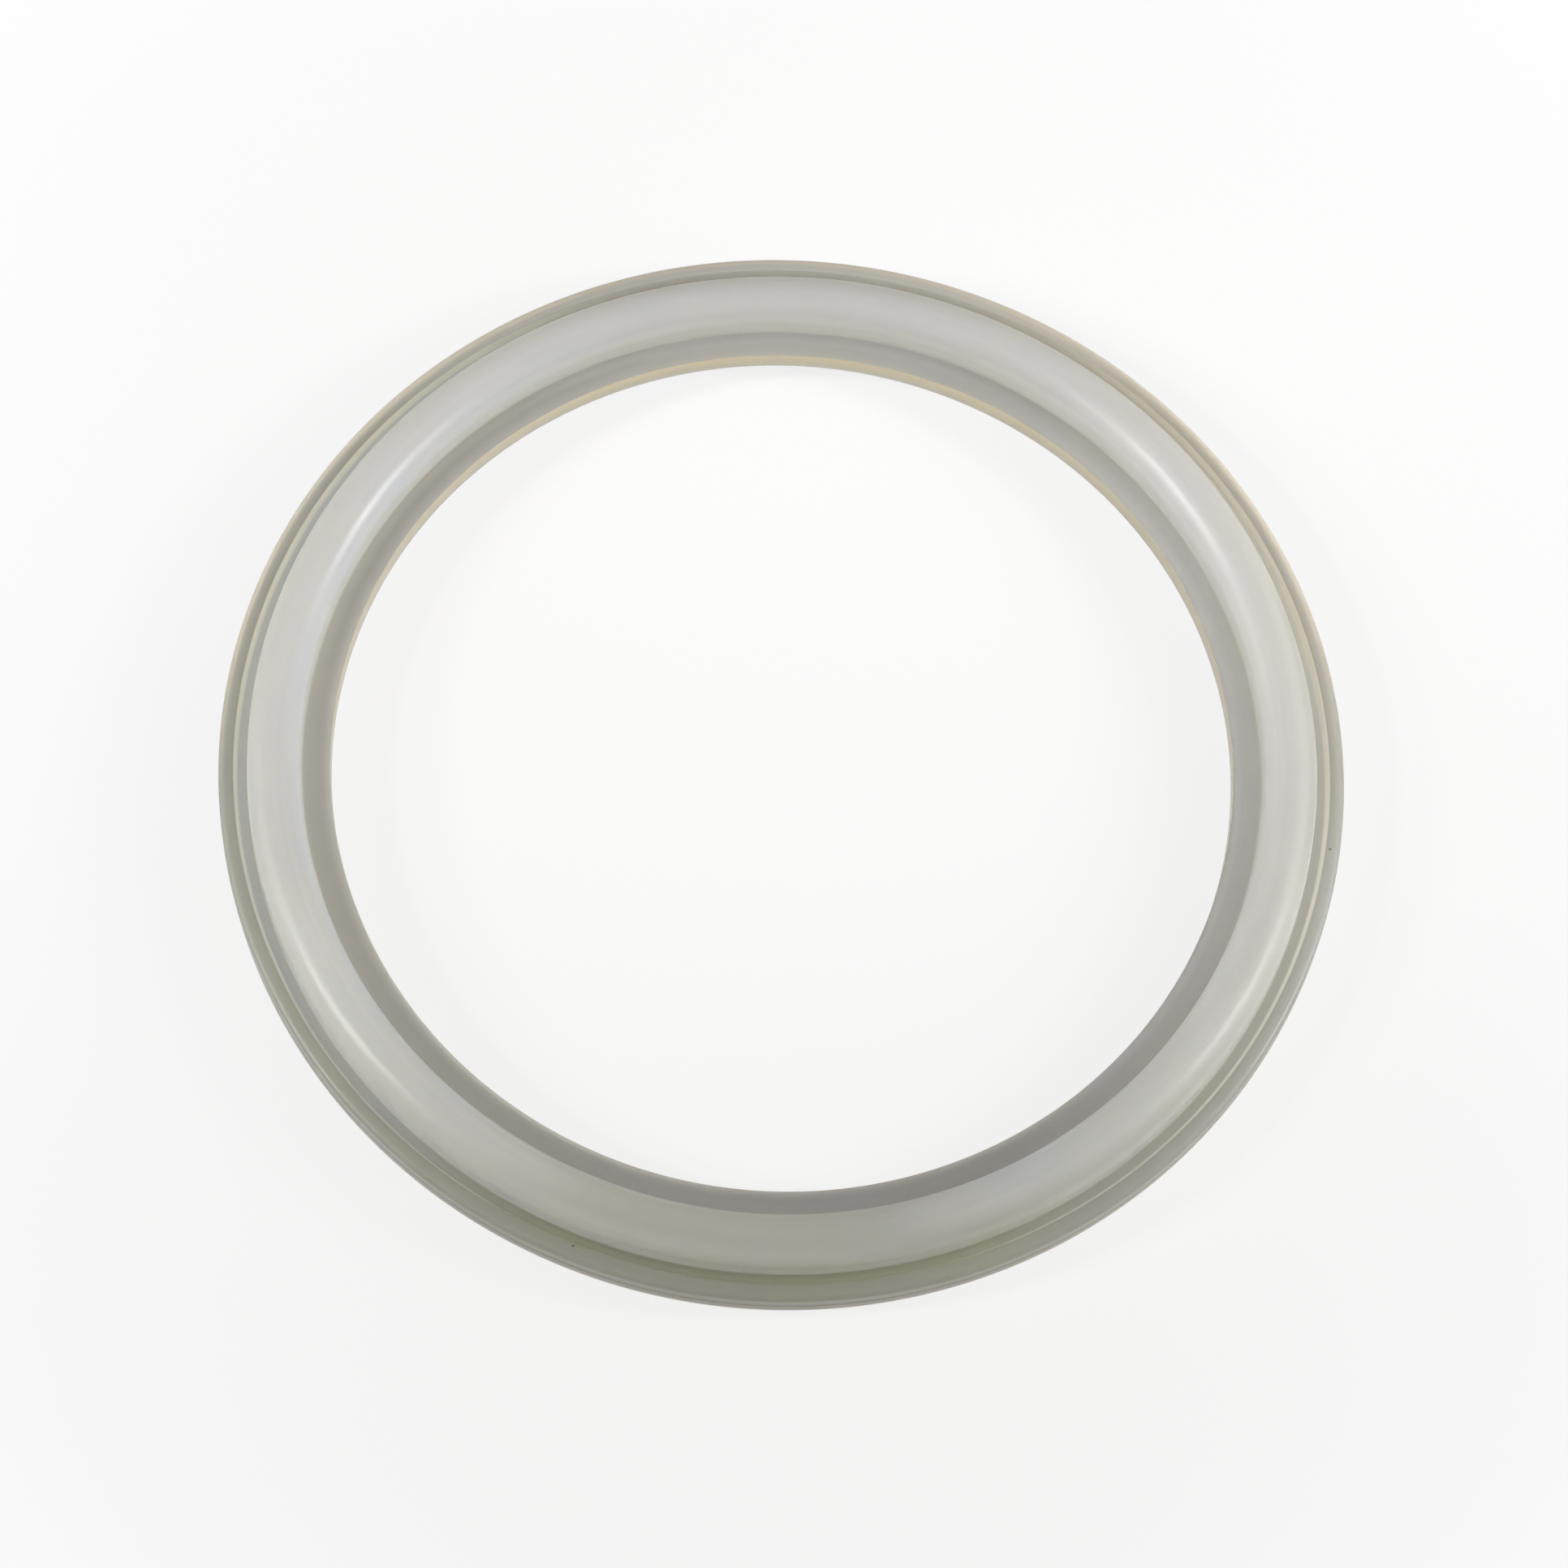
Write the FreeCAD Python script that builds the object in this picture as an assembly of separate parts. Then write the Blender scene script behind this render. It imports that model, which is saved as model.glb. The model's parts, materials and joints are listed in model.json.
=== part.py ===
import FreeCAD, Part
import math
import os

# Flanged sealing ring, moulded in one piece from soft translucent silicone.
# Both faces are alike: an inner flange round the bore, a tall round-topped bead,
# a narrow flat valley and a low raised rim at the outside.
# The origin is the middle of the bore at half the ring's thickness, and +Z is the ring's axis.

# Radial sizes in mm, from the bore outwards
bore_diameter = 73.0
inner_flange_width = 2.3
bead_width = 4.3
valley_width = 0.85
rim_wall_run = 0.3
rim_top_width = 1.25

# Heights in mm: the flange through its thickness, the bead and the rim above its face
flange_thickness = 1.85
bead_height = 3.35
rim_height = 0.65

# Rounding of edges and inside corners in mm
bore_edge_radius = 0.12
bead_foot_radius = 0.15
rim_foot_radius = 0.1
rim_inner_edge_radius = 0.15
rim_outer_edge_radius = 0.5

# An edge shorter than this is left out of the outline
shortest_edge = 1e-6

# Radii and levels that follow from the sizes
bore_radius = bore_diameter / 2
bead_inner_radius = bore_radius + inner_flange_width
bead_outer_radius = bead_inner_radius + bead_width
rim_foot = bead_outer_radius + valley_width
rim_inner_edge = rim_foot + rim_wall_run
outer_radius = rim_inner_edge + rim_top_width
face_level = flange_thickness / 2
bead_level = face_level + bead_height
rim_level = face_level + rim_height

# The bead's top is a half circle, unless the bead is too low to hold one above its foot
crown_radius = min(bead_width / 2, bead_height - bead_foot_radius)

# Corners of the upper half of the section, from the bore to the outside: radius, height, rounding
upper_corners = [
    (bore_radius, face_level, bore_edge_radius),
    (bead_inner_radius, face_level, bead_foot_radius),
    (bead_inner_radius, bead_level, crown_radius),
    (bead_outer_radius, bead_level, crown_radius),
    (bead_outer_radius, face_level, bead_foot_radius),
    (rim_foot, face_level, rim_foot_radius),
    (rim_inner_edge, rim_level, rim_inner_edge_radius),
    (outer_radius, rim_level, rim_outer_edge_radius),
]


def mirrored(corners):
    """The same corners on the lower face, in the order that closes the outline."""
    return [(radius, -height, rounding) for radius, height, rounding in reversed(corners)]


def section_point(radius, height):
    """A point of the section, in the plane through the ring's axis."""
    return FreeCAD.Vector(radius, 0, height)


def rounded_corner(before, corner, after, rounding):
    """Start, middle and end of the arc that rounds a corner and touches both its sides."""
    to_before = (before - corner).normalize()
    to_after = (after - corner).normalize()
    half_angle = to_before.getAngle(to_after) / 2
    setback = rounding / math.tan(half_angle)
    bisector = (to_before + to_after).normalize()
    to_middle = rounding / math.sin(half_angle) - rounding
    return (
        corner + to_before * setback,
        corner + bisector * to_middle,
        corner + to_after * setback,
    )


def rounded_outline(corners):
    """A closed wire of straight sides joined by tangent arcs."""
    points = [section_point(radius, height) for radius, height, rounding in corners]
    count = len(points)
    arcs = []
    for index, (radius, height, rounding) in enumerate(corners):
        before = points[index - 1]
        after = points[(index + 1) % count]
        arcs.append(rounded_corner(before, points[index], after, rounding))
    edges = []
    for index, (start, middle, end) in enumerate(arcs):
        edges.append(Part.Arc(start, middle, end).toShape())
        next_start = arcs[(index + 1) % count][0]
        if end.distanceToPoint(next_start) > shortest_edge:
            edges.append(Part.makeLine(end, next_start))
    return Part.Wire(edges)


def make_seal_ring():
    """The whole ring: its section turned once round the axis."""
    section = Part.Face(rounded_outline(upper_corners + mirrored(upper_corners)))
    centre = FreeCAD.Vector(0, 0, 0)
    axis = FreeCAD.Vector(0, 0, 1)
    ring = section.revolve(centre, axis, 360)
    return ring if ring.ShapeType == "Solid" else Part.makeSolid(ring.Shells[0])


os.makedirs("parts", exist_ok=True)
seal_ring = make_seal_ring()
seal_ring.exportStep("parts/seal_ring.step")
print("outside diameter", round(2 * outer_radius, 3), "mm")
print("overall height", round(2 * bead_level, 3), "mm")
print("seal_ring", "valid" if seal_ring.isValid() else "not valid", round(seal_ring.Volume, 1), "mm3")
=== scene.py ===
import json

import bpy
import numpy as np
from mathutils import Matrix, Vector


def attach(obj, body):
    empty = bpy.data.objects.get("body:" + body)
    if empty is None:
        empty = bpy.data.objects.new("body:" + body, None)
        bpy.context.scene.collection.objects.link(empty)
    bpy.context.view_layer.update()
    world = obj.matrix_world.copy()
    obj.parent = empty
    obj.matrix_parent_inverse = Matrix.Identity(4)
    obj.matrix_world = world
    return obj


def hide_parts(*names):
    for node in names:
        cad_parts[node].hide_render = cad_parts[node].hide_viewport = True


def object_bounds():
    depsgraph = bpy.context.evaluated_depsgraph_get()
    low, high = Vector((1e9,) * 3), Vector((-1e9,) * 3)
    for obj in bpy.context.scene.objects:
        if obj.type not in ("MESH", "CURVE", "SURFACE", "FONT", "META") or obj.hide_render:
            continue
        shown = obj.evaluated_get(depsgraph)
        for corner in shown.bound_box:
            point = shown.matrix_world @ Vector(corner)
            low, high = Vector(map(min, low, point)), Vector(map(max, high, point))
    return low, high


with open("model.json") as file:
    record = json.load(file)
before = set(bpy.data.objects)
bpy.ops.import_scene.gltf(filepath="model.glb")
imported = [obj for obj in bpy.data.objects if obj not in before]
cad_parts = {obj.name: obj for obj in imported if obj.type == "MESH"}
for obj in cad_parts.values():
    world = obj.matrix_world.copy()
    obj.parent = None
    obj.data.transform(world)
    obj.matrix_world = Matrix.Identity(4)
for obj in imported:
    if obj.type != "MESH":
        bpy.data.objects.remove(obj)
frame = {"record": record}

mm = 0.001
white = (1, 1, 1, 1)
cadLow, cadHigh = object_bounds()
print("frame loaded, box", [round(side / mm, 2) for side in cadHigh - cadLow], "mm")


def linearColour(red, green, blue):
    # a screen colour of 0 to 255 as scene-linear red, green, blue and alpha, by the usual screen curve:
    # a short straight foot, and above it ((colour + 0.055) / 1.055) to the power 2.4
    screen = np.array([red, green, blue]) / 255
    linear = np.where(screen <= 0.04045, screen / 12.92, ((screen + 0.055) / 1.055) ** 2.4)
    return (*linear.tolist(), 1.0)


def addNode(tree, kind, inputs=None, **settings):
    # one node with its settings; an input is given a plain value or another node's output
    made = tree.nodes.new(kind)
    for name, value in settings.items():
        setattr(made, name, value)
    for name, value in (inputs or {}).items():
        if isinstance(value, bpy.types.NodeSocket):
            tree.links.new(value, made.inputs[name])
        else:
            made.inputs[name].default_value = value
    return made


# The camera looks down on the ring from the near side, almost along its axis
cameraView = {
    "aim": Vector((0.247, -2.255, 0.85)) * mm,
    "distance": 360.2 * mm,
    "tilt": 22.25,      # degrees between the view and the ring's axis
    "roll": 5.39,       # degrees, the right side up
    "lens": 102.5,      # mm, on a sensor 36 mm wide
    "sensor": 36.0,
    "nearest": 1 * mm,  # nothing closer than this is shown
}


def placeCamera(view):
    # the camera's axes: back along the tilt, right along X, both turned by the roll
    tilt, roll = np.radians([view["tilt"], view["roll"]])
    back = Vector((0, -np.sin(tilt), np.cos(tilt)))
    right = Vector((1, 0, 0))
    up = back.cross(right)
    rolledRight = np.cos(roll) * right + np.sin(roll) * up
    rolledUp = np.cos(roll) * up - np.sin(roll) * right
    turned = Matrix((rolledRight, rolledUp, back)).transposed().to_4x4()
    lens = bpy.data.cameras.new("camera")
    lens.lens = view["lens"]
    lens.sensor_width = view["sensor"]
    lens.clip_start = view["nearest"]
    camera = bpy.data.objects.new("camera", lens)
    camera.matrix_world = Matrix.Translation(view["aim"] + back * view["distance"]) @ turned
    bpy.context.scene.collection.objects.link(camera)
    bpy.context.scene.camera = camera


placeCamera(cameraView)
print("camera placed")


# The room: a pale floor, a sky that is brightest at the right, and a tall strip of light at each side.
# The strips are spots with soft edges, one above the other, aimed past the middle so that the ring dims
# towards the near side. Two small panels stand low and close beside the ring.
room = {
    "floorReach": 1.5,           # m from the middle to the floor's edge
    "floorColour": (0.75, 0.74, 0.72, 1),
    "shadowStrength": 0.2,       # how much of the shade on the floor the camera sees
    "shadowFade": (0.05, 0.12),  # m from the middle, where the shade gives way to white
    "skyColour": (1.0, 0.99, 0.88, 1),
    "skyTowards": (1, 0, 0),     # where the sky is brightest, and how bright it is there
    "skyLevel": 0.91,
}
strips = {
    "leftStrip": {
        "azimuth": -164.5, "elevations": (33, 46), "distance": 1.0, "aim": (0, 0.04, 0),
        "cone": 13, "radius": 0.09, "power": 16.2, "colour": (1.0, 0.985, 0.96),
    },
    "rightStrip": {
        "azimuth": -1, "elevations": (28, 38), "distance": 0.39, "aim": (0, 0.04, 0),
        "cone": 34, "radius": 0.055, "power": 1.6, "colour": (1.0, 0.98, 1.0),
    },
}
panels = {
    "leftPanel": {
        "place": (-0.15, 0, 0.05), "aim": (0, 0, 0),
        "size": 0.08, "power": 0.047, "colour": (0.86, 0.95, 1.0),
    },
    "rightPanel": {
        "place": (0.15, 0, 0.05), "aim": (0, 0, 0),
        "size": 0.08, "power": 0.025, "colour": (0.86, 0.95, 1.0),
    },
}


def whiteForEye(tree):
    # 1 for rays that show the background: from the camera, off gloss or through glass
    path = addNode(tree, "ShaderNodeLightPath")
    seen = path.outputs["Is Camera Ray"]
    for ray in ("Is Glossy Ray", "Is Transmission Ray"):
        either = addNode(tree, "ShaderNodeMath", {0: seen, 1: path.outputs[ray]}, operation="MAXIMUM")
        seen = either.outputs[0]
    return seen


def makeFloor(room, height):
    # a flat square; its shade fades into white with the distance from the ring
    reach = room["floorReach"]
    mesh = bpy.data.meshes.new("floor")
    corners = [(x * reach, y * reach, height) for x, y in ((-1, -1), (1, -1), (1, 1), (-1, 1))]
    mesh.from_pydata(corners, [], [(0, 1, 2, 3)])
    floor = bpy.data.objects.new("floor", mesh)
    bpy.context.scene.collection.objects.link(floor)
    material = bpy.data.materials.new("paleFloor")
    material.use_nodes = True
    tree = material.node_tree
    tree.nodes.clear()
    seen = whiteForEye(tree)
    place = addNode(tree, "ShaderNodeTexCoord")
    away = addNode(tree, "ShaderNodeVectorMath", {0: place.outputs["Object"]}, operation="LENGTH")
    near, far = room["shadowFade"]
    glowing = addNode(tree, "ShaderNodeMapRange", {
        "Value": away.outputs["Value"], "From Min": near, "From Max": far,
        "To Min": 1 - room["shadowStrength"], "To Max": 1.0,
    }, interpolation_type="SMOOTHSTEP")
    glowSeen = addNode(tree, "ShaderNodeMath", {0: glowing.outputs["Result"], 1: seen},
                       operation="MULTIPLY")
    colour = addNode(tree, "ShaderNodeMix", {"Factor": seen, "A": room["floorColour"], "B": white},
                     data_type="RGBA")
    shade = addNode(tree, "ShaderNodeBsdfDiffuse", {"Color": colour.outputs[2]})
    glow = addNode(tree, "ShaderNodeEmission", {"Color": white, "Strength": 1.0})
    both = addNode(tree, "ShaderNodeMixShader", {
        0: glowSeen.outputs[0], 1: shade.outputs[0], 2: glow.outputs[0],
    })
    addNode(tree, "ShaderNodeOutputMaterial", {"Surface": both.outputs[0]})
    mesh.materials.append(material)


def makeSky(room):
    # one lobe, its level times max(0, direction . skyTowards), and plain white where it is seen
    world = bpy.data.worlds.new("sky")
    bpy.context.scene.world = world
    world.use_nodes = True
    tree = world.node_tree
    tree.nodes.clear()
    seen = whiteForEye(tree)
    colour = addNode(tree, "ShaderNodeMix", {"Factor": seen, "A": room["skyColour"], "B": white},
                     data_type="RGBA")
    ray = addNode(tree, "ShaderNodeTexCoord")
    along = addNode(tree, "ShaderNodeVectorMath", {0: ray.outputs["Generated"], 1: room["skyTowards"]},
                    operation="DOT_PRODUCT")
    forward = addNode(tree, "ShaderNodeMath", {0: along.outputs["Value"], 1: 0.0}, operation="MAXIMUM")
    level = addNode(tree, "ShaderNodeMath", {0: forward.outputs[0], 1: room["skyLevel"]},
                    operation="MULTIPLY")
    strength = addNode(tree, "ShaderNodeMapRange", {
        "Value": seen, "To Min": level.outputs[0], "To Max": 1.0,
    })
    sky = addNode(tree, "ShaderNodeBackground", {
        "Color": colour.outputs[2], "Strength": strength.outputs["Result"],
    })
    addNode(tree, "ShaderNodeOutputWorld", {"Surface": sky.outputs[0]})


def placeLamp(name, kind, place, look):
    # a lamp at a place, turned to face its aim
    lamp = bpy.data.lights.new(name, kind)
    lamp.energy = look["power"]
    lamp.color = look["colour"]
    place, aim = Vector(place), Vector(look["aim"])
    holder = bpy.data.objects.new(name, lamp)
    facing = (place - aim).to_track_quat("Z", "Y").to_matrix().to_4x4()
    holder.matrix_world = Matrix.Translation(place) @ facing
    bpy.context.scene.collection.objects.link(holder)
    return lamp


def makeLamps(strips, panels):
    # a strip's spots stand at its distance from the middle, along its azimuth and at each of its elevations
    for name, strip in strips.items():
        azimuth = np.radians(strip["azimuth"])
        for elevation in np.radians(strip["elevations"]):
            level = np.cos(elevation)
            away = Vector((level * np.cos(azimuth), level * np.sin(azimuth), np.sin(elevation)))
            lamp = placeLamp(name, "SPOT", away * strip["distance"], strip)
            lamp.spot_size = np.radians(strip["cone"])
            lamp.spot_blend = 1.0   # the light fades all the way from the middle of the cone
            lamp.shadow_soft_size = strip["radius"]
    for name, panel in panels.items():
        lamp = placeLamp(name, "AREA", panel["place"], panel)
        lamp.shape = "SQUARE"
        lamp.size = panel["size"]


makeFloor(room, cadLow.z)
makeSky(room)
makeLamps(strips, panels)
bpy.context.scene.view_settings.view_transform = "Standard"
print("room and lamps made")


# The ring's section, from the bore outwards. Its bore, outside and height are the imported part's.
boreMount = next(mount for mount in frame["record"]["mounts"] if mount["name"] == "bore")
ringShape = {
    "boreRadius": boreMount["dims"]["r_mm"] * mm,
    "outerRadius": cadHigh.x,
    "crestHeight": cadHigh.z,
    "flangeThickness": 1.85 * mm,
    "innerFlangeWidth": 2.3 * mm,
    "beadWidth": 4.3 * mm,
    "valleyWidth": 0.85 * mm,
    "stepRun": 0.3 * mm,
    "rimHeight": 0.65 * mm,
    "boreRounding": 0.12 * mm,
    "beadFootRounding": 0.15 * mm,
    "rimFootRounding": 0.1 * mm,
    "rimInnerRounding": 0.15 * mm,
    "rimOuterRounding": 0.5 * mm,
    "partingRelief": 0.03 * mm,  # the mould's parting line stands this far out of the outer wall
    "partingFoot": 0.10 * mm,    # half its width at the wall, at its top, and the rounding of both
    "partingTop": 0.04 * mm,
    "partingRounding": 0.02 * mm,
    "turns": 360,                # points round the ring
    "arcStep": 0.15 * mm,        # longest step along a rounding
    "arcSteps": 6,               # fewest steps to a rounding
    "sideStep": 0.25 * mm,       # longest step along a straight side
    "shortestSide": 0.001 * mm,  # a side shorter than this gets no points of its own
}


def upperCorners(shape):
    # corners of the section's upper half: radius, height and rounding of each
    face = shape["flangeThickness"] / 2
    crest = shape["crestHeight"]
    rimTop = face + shape["rimHeight"]
    beadInner = shape["boreRadius"] + shape["innerFlangeWidth"]
    beadOuter = beadInner + shape["beadWidth"]
    stepFoot = beadOuter + shape["valleyWidth"]
    stepTop = stepFoot + shape["stepRun"]
    crown = shape["beadWidth"] / 2
    wall = shape["outerRadius"] - shape["partingRelief"]
    return np.array([
        (shape["boreRadius"], face, shape["boreRounding"]),
        (beadInner, face, shape["beadFootRounding"]),
        (beadInner, crest, crown),
        (beadOuter, crest, crown),
        (beadOuter, face, shape["beadFootRounding"]),
        (stepFoot, face, shape["rimFootRounding"]),
        (stepTop, rimTop, shape["rimInnerRounding"]),
        (wall, rimTop, shape["rimOuterRounding"]),
        (wall, shape["partingFoot"], shape["partingRounding"]),
        (shape["outerRadius"], shape["partingTop"], shape["partingRounding"]),
    ])


def roundedOutline(corners, shape):
    # every corner becomes an arc that touches both its sides: the arc's centre lies on the corner's
    # bisector at rounding / sin(half the corner's angle), and straight sides are divided evenly.
    # Each point also gets its station: corner i's arc runs from i to i + 0.5, the side after it
    # on to i + 1.
    place, rounding = corners[:, :2], corners[:, 2]
    toBefore = np.roll(place, 1, axis=0) - place
    toAfter = np.roll(place, -1, axis=0) - place
    toBefore /= np.linalg.norm(toBefore, axis=1, keepdims=True)
    toAfter /= np.linalg.norm(toAfter, axis=1, keepdims=True)
    halfAngle = np.arccos(np.clip((toBefore * toAfter).sum(axis=1), -1, 1)) / 2
    setback = (rounding / np.tan(halfAngle))[:, None]
    bisector = toBefore + toAfter
    bisector /= np.linalg.norm(bisector, axis=1, keepdims=True)
    centre = place + bisector * (rounding / np.sin(halfAngle))[:, None]
    start, end = place + toBefore * setback, place + toAfter * setback
    startTurn = np.arctan2(*(start - centre).T[::-1])
    endTurn = np.arctan2(*(end - centre).T[::-1])
    sweep = (endTurn - startTurn + np.pi) % (2 * np.pi) - np.pi
    points, stations = [], []
    for i in range(len(place)):
        steps = max(shape["arcSteps"], int(np.ceil(abs(sweep[i]) * rounding[i] / shape["arcStep"])))
        part = np.arange(steps) / steps
        turn = startTurn[i] + sweep[i] * part
        points.append(centre[i] + rounding[i] * np.stack([np.cos(turn), np.sin(turn)], axis=1))
        stations.append(i + part / 2)
        side = start[(i + 1) % len(place)] - end[i]
        steps = int(np.ceil((np.linalg.norm(side) - shape["shortestSide"]) / shape["sideStep"]))
        part = np.arange(steps) / max(steps, 1)
        points.append(end[i] + side * part[:, None])
        stations.append(i + 0.5 + part / 2)
    return np.concatenate(points), np.concatenate(stations)


def ringSurface(outline, turns):
    # the outline carried once round the axis: x = radius cos(turn), y = radius sin(turn), z = height
    turn = (2 * np.pi * np.arange(turns) / turns)[:, None]
    radius, height = outline[None, :, 0], outline[None, :, 1]
    return np.stack(np.broadcast_arrays(radius * np.cos(turn), radius * np.sin(turn), height), axis=-1)


def closedGrid(rows, columns):
    # faces of a grid that closes on itself both ways, as indices of their four corners
    row, column = np.meshgrid(np.arange(rows), np.arange(columns), indexing="ij")
    nextRow, nextColumn = (row + 1) % rows, (column + 1) % columns
    corners = [(row, column), (nextRow, column), (nextRow, nextColumn), (row, nextColumn)]
    return np.stack([r * columns + c for r, c in corners], axis=-1).reshape(-1, 4)


def makeMesh(name, points, faces):
    # a smooth mesh straight from the arrays
    mesh = bpy.data.meshes.new(name)
    mesh.vertices.add(len(points))
    mesh.vertices.foreach_set("co", points.astype(np.float32).ravel())
    mesh.loops.add(faces.size)
    mesh.loops.foreach_set("vertex_index", faces.astype(np.int32).ravel())
    mesh.polygons.add(len(faces))
    mesh.polygons.foreach_set("loop_start", np.arange(0, faces.size, faces.shape[1], dtype=np.int32))
    mesh.polygons.foreach_set("use_smooth", np.ones(len(faces), dtype=bool))
    mesh.update(calc_edges=True)
    mesh.validate()
    return mesh


# The silicone's colour at stations of the section, with painted light in it. Milk-white where it is thick
# and grey where it is thin, partly its own colour and partly painted for the light thick silicone scatters
# back.
# The bore wall is painted warm and light as a glow of light coming out of it, the bead's feet and the
# flange beside them are painted lighter against the shade in those corners, and the step is painted as a
# pale line of light. Both faces are alike, so the stations are the upper half's.
tones = [
    # painted glow: the bore wall is warm and light for light that comes out of it
    (-0.25, linearColour(220, 189, 149)),   # bore wall
    (0.10, linearColour(218, 188, 149)),
    (0.42, linearColour(157, 154, 146)),    # bore edge
    (0.63, linearColour(152, 151, 149)),    # flange
    (0.74, linearColour(158, 157, 156)),
    # painted light: the flange lightens towards the bead's foot, against the shade in that corner
    (0.91, linearColour(174, 174, 172)),
    # painted light: the inner foot is lighter than the crest, against the shade where the bead meets the
    # flange
    (1.30, linearColour(214, 212, 205)),    # bead's inner foot
    (1.75, linearColour(225, 222, 213)),
    (2.06, linearColour(216, 214, 206)),
    (2.20, linearColour(200, 198, 195)),
    (2.50, linearColour(201, 199, 197)),    # crest
    (3.00, linearColour(201, 199, 197)),
    (3.17, linearColour(198, 196, 190)),
    (3.31, linearColour(202, 200, 192)),
    # painted light: the outer foot is lighter than the crest, against the shade where the bead meets the
    # valley
    (3.44, linearColour(228, 227, 217)),
    (3.75, linearColour(244, 241, 226)),
    (4.25, linearColour(230, 229, 217)),    # bead's outer foot
    (4.51, linearColour(180, 182, 178)),    # valley
    (5.20, linearColour(180, 182, 178)),
    # painted light: the step is a pale warm line of light
    (5.60, linearColour(206, 201, 185)),    # step
    (6.00, linearColour(206, 201, 185)),
    (6.35, linearColour(142, 141, 136)),    # rim top
    (6.85, linearColour(142, 141, 136)),
    (7.25, linearColour(144, 142, 132)),    # shoulder
    (7.65, linearColour(148, 146, 135)),    # outer wall
    (9.75, linearColour(150, 148, 137)),    # parting line
]
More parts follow.
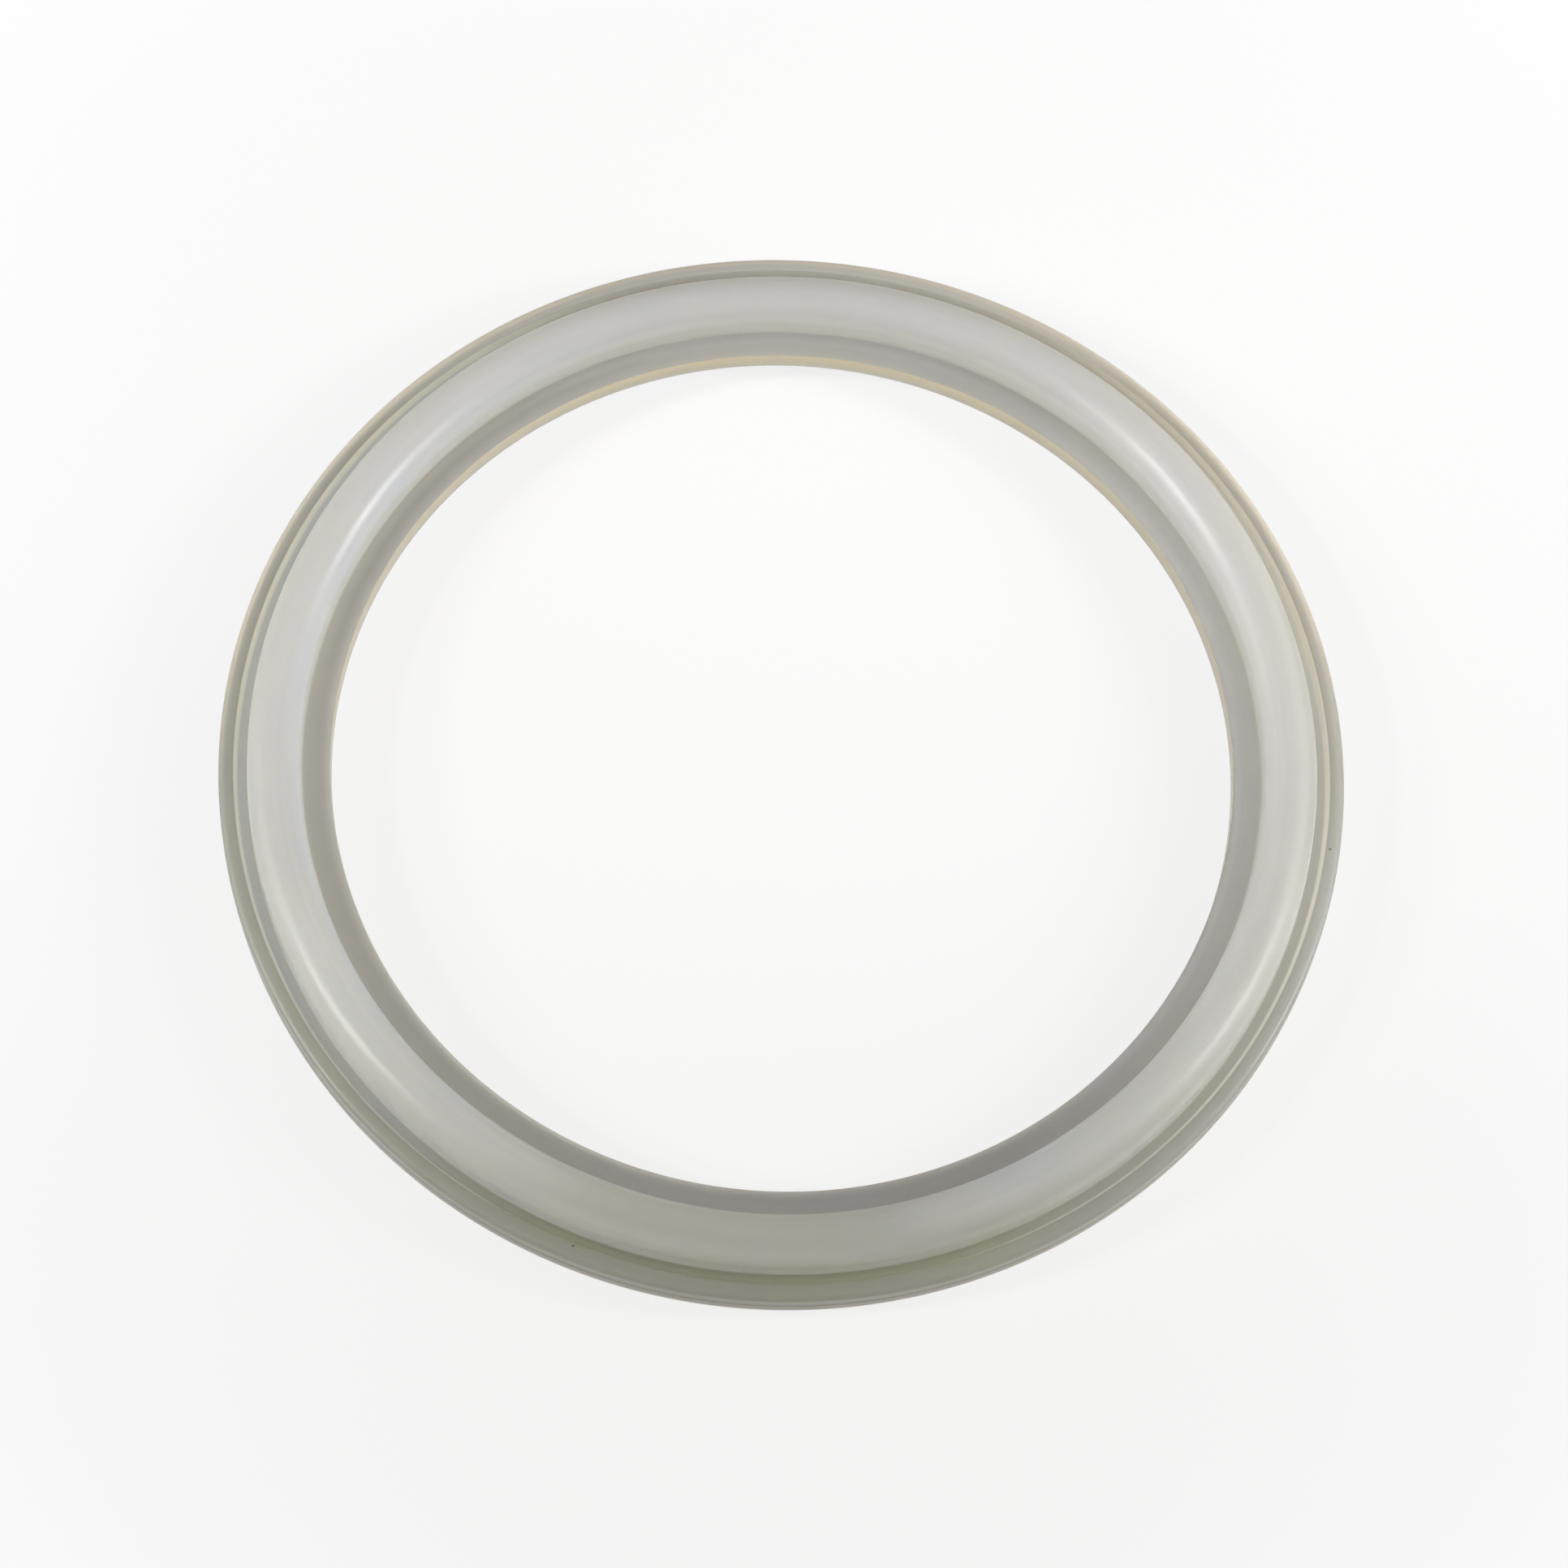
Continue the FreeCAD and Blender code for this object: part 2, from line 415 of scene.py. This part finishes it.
# Painted light and shade, laid over the tones by heading round the ring: warm glows where light comes out
# at the edges, lighter patches where light falls on the ring or comes through it, darker patches where it
# lies in shade. Each entry has its colour, its stations (none before the first, all between the middle two,
# none after the last; over 10 is the lower half), the headings round the ring where it is strongest, the
# cosines from the nearest heading at which it starts and is full, and its strength.
paintedLightAndShade = {
    "warmEdge": {
        "colour": linearColour(228, 200, 166), "stations": (6.72, 7.00, 7.40, 7.60),
        "headings": (102,), "turn": (0.60, 0.95), "strength": 1.0,
    },
    "warmSides": {
        "colour": linearColour(226, 197, 168), "stations": (6.95, 7.15, 7.40, 7.60),
        "headings": (75, 125), "turn": (0.40, 0.85), "strength": 1.0,
    },
    "farRim": {
        "colour": linearColour(186, 180, 168), "stations": (6.20, 6.40, 6.85, 7.05),
        "headings": (97,), "turn": (0.60, 0.98), "strength": 1.0,
    },
    "farStep": {
        "colour": linearColour(154, 152, 148), "stations": (4.40, 4.90, 6.15, 6.35),
        "headings": (75,), "turn": (0.55, 0.85), "strength": 0.9,
    },
    "rightStep": {
        "colour": linearColour(166, 162, 158), "stations": (5.30, 5.60, 6.00, 6.20),
        "headings": (27,), "turn": (0.80, 0.97), "strength": 1.0,
    },
    "rightValley": {
        "colour": linearColour(206, 204, 192), "stations": (4.20, 4.50, 5.00, 5.40),
        "headings": (38,), "turn": (0.85, 0.95), "strength": 0.7,
    },
    "leftValley": {
        "colour": linearColour(194, 197, 198), "stations": (4.40, 4.55, 5.20, 5.45),
        "headings": (180,), "turn": (0.20, 0.80), "strength": 0.8,
    },
    "nearValley": {
        "colour": linearColour(165, 165, 147), "stations": (4.40, 4.55, 5.20, 5.45),
        "headings": (270,), "turn": (0.75, 0.99), "strength": 1.0,
    },
    "nearStep": {
        "colour": linearColour(172, 170, 152), "stations": (5.30, 5.60, 6.00, 6.20),
        "headings": (270,), "turn": (0.75, 0.99), "strength": 1.0,
    },
    "nearRim": {
        "colour": linearColour(163, 162, 150), "stations": (6.10, 6.35, 7.60, 8.00),
        "headings": (262,), "turn": (0.20, 0.80), "strength": 1.0,
    },
    "nearFoot": {
        "colour": linearColour(255, 252, 238), "stations": (3.33, 3.48, 4.00, 4.30),
        "headings": (238,), "turn": (0.85, 0.98), "strength": 1.0,
    },
    "nearFlank": {
        "colour": linearColour(236, 233, 218), "stations": (2.95, 3.30, 3.40, 3.60),
        "headings": (245,), "turn": (0.60, 0.95), "strength": 0.8,
    },
    "nearBead": {
        "colour": linearColour(198, 198, 187), "stations": (1.60, 2.00, 3.05, 3.30),
        "headings": (265,), "turn": (0.85, 0.97), "strength": 1.0,
    },
    "coolSides": {
        "colour": linearColour(199, 213, 238), "stations": (1.40, 2.10, 2.20, 2.50),
        "headings": (0, 180), "turn": (0.30, 0.90), "strength": 0.22,
    },
    "rightFlange": {
        "colour": linearColour(206, 204, 199), "stations": (0.40, 0.60, 0.95, 1.25),
        "headings": (5,), "turn": (0.40, 0.98), "strength": 0.9,
    },
    "rightInner": {
        "colour": linearColour(236, 234, 228), "stations": (1.60, 2.10, 2.25, 2.50),
        "headings": (322,), "turn": (0.80, 0.97), "strength": 0.8,
    },
    "rightFoot": {
        "colour": linearColour(254, 252, 247), "stations": (3.38, 3.46, 3.90, 4.20),
        "headings": (0,), "turn": (0.94, 0.99), "strength": 1.0,
    },
    "rightRim": {
        "colour": linearColour(152, 152, 150), "stations": (6.10, 6.35, 7.30, 7.70),
        "headings": (330,), "turn": (0.82, 0.96), "strength": 1.0,
    },
    "paleStep": {
        "colour": linearColour(224, 221, 208), "stations": (5.30, 5.60, 6.00, 6.20),
        "headings": (218, 324), "turn": (0.86, 0.97), "strength": 1.0,
    },
    "leftFlange": {
        "colour": linearColour(142, 142, 141), "stations": (0.20, 0.42, 0.70, 0.90),
        "headings": (142,), "turn": (0.80, 0.98), "strength": 1.0,
    },
    "rightFlank": {
        "colour": linearColour(183, 181, 174), "stations": (3.15, 3.26, 3.34, 3.42),
        "headings": (8,), "turn": (0.92, 0.985), "strength": 1.0,
    },
    "rightBead": {
        "colour": linearColour(219, 216, 213), "stations": (1.30, 1.70, 2.24, 2.50),
        "headings": (8, 34), "turn": (0.88, 0.98), "strength": 1.0,
    },
    "paleQuarters": {
        "colour": linearColour(224, 222, 214), "stations": (2.15, 2.35, 3.05, 3.30),
        "headings": (228, 312), "turn": (0.88, 0.98), "strength": 0.75,
    },
    "lowerEdge": {
        "colour": linearColour(214, 190, 150), "stations": (11.90, 12.05, 12.40, 12.60),
        "headings": (270,), "turn": (-0.2, 0.3), "strength": 1.0,
    },
}


def smoothStep(low, high, value):
    # 0 below low and 1 above high, with an even bend between: 3 t^2 - 2 t^3
    part = np.clip((value - low) / (high - low), 0, 1)
    return part * part * (3 - 2 * part)


def foldedStations(stations, corners):
    # the lower half's stations are folded onto the upper half's: corner i's twin is corner
    # 2 * corners - 1 - i, whose arc is run through backwards. The folds lie halfway along the bore wall
    # and the parting line's top.
    whole, arc, fold = 2 * corners, 0.5, 0.25
    folded = np.where(stations > whole - arc, stations - whole, stations)
    folded = np.where(folded > corners - fold, whole - arc - folded, folded)
    return np.where(folded < -fold, -arc - folded, folded)


def tonesWithPaintedLight(stations, corners, turns, tones, paintedLightAndShade):
    # the listed colours blend along the section, and each painted patch of light or shade is laid over
    # them: its weight is a product of one step up and one down along the section, and of one step with the
    # cosine from its heading
    folded = foldedStations(stations, corners)
    places = [place for place, colour in tones]
    listed = np.array([colour for place, colour in tones])
    along = np.stack([np.interp(folded, places, channel) for channel in listed.T], axis=-1)
    surface = np.broadcast_to(along, (turns, *along.shape))
    turn = 2 * np.pi * np.arange(turns) / turns
    for paintedPatch in paintedLightAndShade.values():
        start, full, fade, end = paintedPatch["stations"]
        across = smoothStep(start, full, stations) * (1 - smoothStep(fade, end, stations))
        nearest = np.cos(turn[:, None] - np.radians(paintedPatch["headings"])).max(axis=1)
        around = smoothStep(*paintedPatch["turn"], nearest)
        weight = paintedPatch["strength"] * (around[:, None] * across)[..., None]
        surface = surface * (1 - weight) + np.array(paintedPatch["colour"]) * weight
    return surface


silicone = {
    "roughness": 0.32,
    "refraction": 1.43,
    "scatterWeight": 1.0,
    "scatterDepth": 20.0 * mm,
    "scatterColour": (1.0, 0.88, 0.72),
    "cloudSize": 6.0 * mm,
    "cloudRange": (0.3, 0.7),    # the part of the noise over which the clouds turn from cool to warm
    "coolTint": (0.985, 0.995, 1.012, 1),
    "warmTint": (1.015, 1.005, 0.985, 1),
    "noiseRange": (0.25, 0.75),  # the part of the other noises that is used
    "bandWidth": 0.4 * mm,       # faint bands that run round the ring
    "bandContrast": 0.02,
    "speckSpacing": 2.6 * mm,
    "speckRadius": 0.07 * mm,
    "speckColour": linearColour(228, 226, 218),
    "speckStrength": 0.35,
    "smudgeSize": 15.0 * mm,
    "smudge": 0.05,              # how far the roughness wanders
    "grainSize": 0.25 * mm,
    "grainHeight": 0.0015 * mm,
    "nicks": (                   # heading, radius and height of each
        (253.5, 44.32 * mm, 1.56 * mm),
        (355.2, 44.6 * mm, 1.575 * mm),
    ),
    "nickSize": 0.16 * mm,
    "nickCore": 1 / 3,           # the share of its size in which a nick is full
    "nickColour": linearColour(96, 92, 78),
    "nickDepth": 0.03 * mm,
}


def siliconeMaterial(look):
    # the section's tones, which carry painted light and shade, with clouds, bands, specks and nicks over
    # them, deep scattering and a satin gloss
    material = bpy.data.materials.new("milkySilicone")
    material.use_nodes = True
    tree = material.node_tree
    tree.nodes.clear()
    place = addNode(tree, "ShaderNodeTexCoord").outputs["Object"]
    # the tone attribute: the silicone's colour with painted light and shade in it, used as the base colour
    toneWithPaintedLight = addNode(tree, "ShaderNodeAttribute", attribute_name="toneWithPaintedLight")
    noiseLow, noiseHigh = look["noiseRange"]
    # clouds of slightly cooler and warmer milk
    cloud = addNode(tree, "ShaderNodeTexNoise", {
        "Vector": place, "Scale": 1 / look["cloudSize"], "Detail": 3.0, "Roughness": 0.55,
    })
    cloudiness = addNode(tree, "ShaderNodeMapRange", {
        "Value": cloud.outputs["Fac"], "From Min": look["cloudRange"][0], "From Max": look["cloudRange"][1],
    }, interpolation_type="SMOOTHSTEP")
    tint = addNode(tree, "ShaderNodeMix", {
        "Factor": cloudiness.outputs["Result"], "A": look["coolTint"], "B": look["warmTint"],
    }, data_type="RGBA")
    clouded = addNode(tree, "ShaderNodeMix", {
        "Factor": 1.0, "A": toneWithPaintedLight.outputs["Color"], "B": tint.outputs[2],
    }, data_type="RGBA", blend_type="MULTIPLY")
    # bands round the ring: noise that changes fast with radius and height and slowly along the ring
    axes = addNode(tree, "ShaderNodeSeparateXYZ", {0: place})
    flat = addNode(tree, "ShaderNodeCombineXYZ", {0: axes.outputs["X"], 1: axes.outputs["Y"]})
    radius = addNode(tree, "ShaderNodeVectorMath", {0: flat.outputs[0]}, operation="LENGTH")
    heading = addNode(tree, "ShaderNodeVectorMath", {0: flat.outputs[0]}, operation="NORMALIZE")
    headingAxes = addNode(tree, "ShaderNodeSeparateXYZ", {0: heading.outputs[0]})
    across = addNode(tree, "ShaderNodeMath", {0: radius.outputs["Value"], 1: axes.outputs["Z"]},
                     operation="ADD")
    acrossBands = addNode(tree, "ShaderNodeMath", {0: across.outputs[0], 1: 1 / look["bandWidth"]},
                          operation="MULTIPLY")
    bandPlace = addNode(tree, "ShaderNodeCombineXYZ", {
        0: headingAxes.outputs["X"], 1: headingAxes.outputs["Y"], 2: acrossBands.outputs[0],
    })
    band = addNode(tree, "ShaderNodeTexNoise", {
        "Vector": bandPlace.outputs[0], "Scale": 1.0, "Detail": 2.0,
    })
    bandLevel = addNode(tree, "ShaderNodeMapRange", {
        "Value": band.outputs["Fac"], "From Min": noiseLow, "From Max": noiseHigh,
        "To Min": 1 - look["bandContrast"], "To Max": 1 + look["bandContrast"],
    })
    banded = addNode(tree, "ShaderNodeVectorMath", {
        0: clouded.outputs[2], "Scale": bandLevel.outputs["Result"],
    }, operation="SCALE")
    # a few pale specks
    cells = addNode(tree, "ShaderNodeTexVoronoi", {"Vector": place, "Scale": 1 / look["speckSpacing"]})
    speckEdge = look["speckRadius"] / look["speckSpacing"]
    speck = addNode(tree, "ShaderNodeMapRange", {
        "Value": cells.outputs["Distance"], "From Min": speckEdge, "From Max": speckEdge / 2,
        "To Max": look["speckStrength"],
    })
    specked = addNode(tree, "ShaderNodeMix", {
        "Factor": speck.outputs["Result"], "A": banded.outputs[0], "B": look["speckColour"],
    }, data_type="RGBA")
    # small dark nicks in the rim, soft-edged spots round a place
    coloured, hollow = specked.outputs[2], 0.0
    for heading, radius, height in look["nicks"]:
        turn = np.radians(heading)
        centre = (radius * np.cos(turn), radius * np.sin(turn), height)
        away = addNode(tree, "ShaderNodeVectorMath", {0: place, 1: centre}, operation="DISTANCE")
        nick = addNode(tree, "ShaderNodeMapRange", {
            "Value": away.outputs["Value"], "From Min": look["nickSize"],
            "From Max": look["nickSize"] * look["nickCore"],
        }, interpolation_type="SMOOTHSTEP")
        coloured = addNode(tree, "ShaderNodeMix", {
            "Factor": nick.outputs["Result"], "A": coloured, "B": look["nickColour"],
        }, data_type="RGBA").outputs[2]
        hollow = addNode(tree, "ShaderNodeMath", {0: hollow, 1: nick.outputs["Result"]}).outputs[0]
    # gloss: broad smudges, and a grain too fine to see that softens the highlights
    smudge = addNode(tree, "ShaderNodeTexNoise", {
        "Vector": place, "Scale": 1 / look["smudgeSize"], "Detail": 4.0,
    })
    roughness = addNode(tree, "ShaderNodeMapRange", {
        "Value": smudge.outputs["Fac"], "From Min": noiseLow, "From Max": noiseHigh,
        "To Min": look["roughness"] - look["smudge"], "To Max": look["roughness"] + look["smudge"],
    })
    grain = addNode(tree, "ShaderNodeTexNoise", {
        "Vector": place, "Scale": 1 / look["grainSize"], "Detail": 2.0,
    })
    grained = addNode(tree, "ShaderNodeBump", {
        "Height": grain.outputs["Fac"], "Distance": look["grainHeight"], "Strength": 1.0,
    })
    nicked = addNode(tree, "ShaderNodeBump", {
        "Height": hollow, "Distance": -look["nickDepth"], "Strength": 1.0,
        "Normal": grained.outputs["Normal"],
    })
    shader = addNode(tree, "ShaderNodeBsdfPrincipled", {
        "Base Color": coloured, "Roughness": roughness.outputs["Result"], "IOR": look["refraction"],
        "Subsurface Weight": look["scatterWeight"], "Subsurface Radius": look["scatterColour"],
        "Subsurface Scale": look["scatterDepth"], "Normal": nicked.outputs["Normal"],
    })
    addNode(tree, "ShaderNodeOutputMaterial", {"Surface": shader.outputs[0]})
    return material


def makeSealRing(shape, tones, paintedLightAndShade, look):
    # the upper corners and their mirror image close the section, which is turned once round the axis
    upper = upperCorners(shape)
    lower = upper[::-1] * (1, -1, 1)
    outline, stations = roundedOutline(np.concatenate([upper, lower]), shape)
    points = ringSurface(outline, shape["turns"])
    faces = closedGrid(shape["turns"], len(outline))
    mesh = makeMesh("sealRing", points.reshape(-1, 3), faces)
    # the tone attribute holds the section's colours with the painted light and shade laid over them
    toneWithPaintedLight = mesh.attributes.new("toneWithPaintedLight", "FLOAT_COLOR", "POINT")
    surface = tonesWithPaintedLight(stations, len(upper), shape["turns"], tones, paintedLightAndShade)
    toneWithPaintedLight.data.foreach_set("color", surface.astype(np.float32).ravel())
    ring = bpy.data.objects.new("sealRing", mesh)
    bpy.context.scene.collection.objects.link(ring)
    mesh.materials.append(siliconeMaterial(look))
    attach(ring, "root")
    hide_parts("seal_ring")
    print("seal ring made,", len(outline), "points along the section,", 2 * len(faces), "triangles")


makeSealRing(ringShape, tones, paintedLightAndShade, silicone)
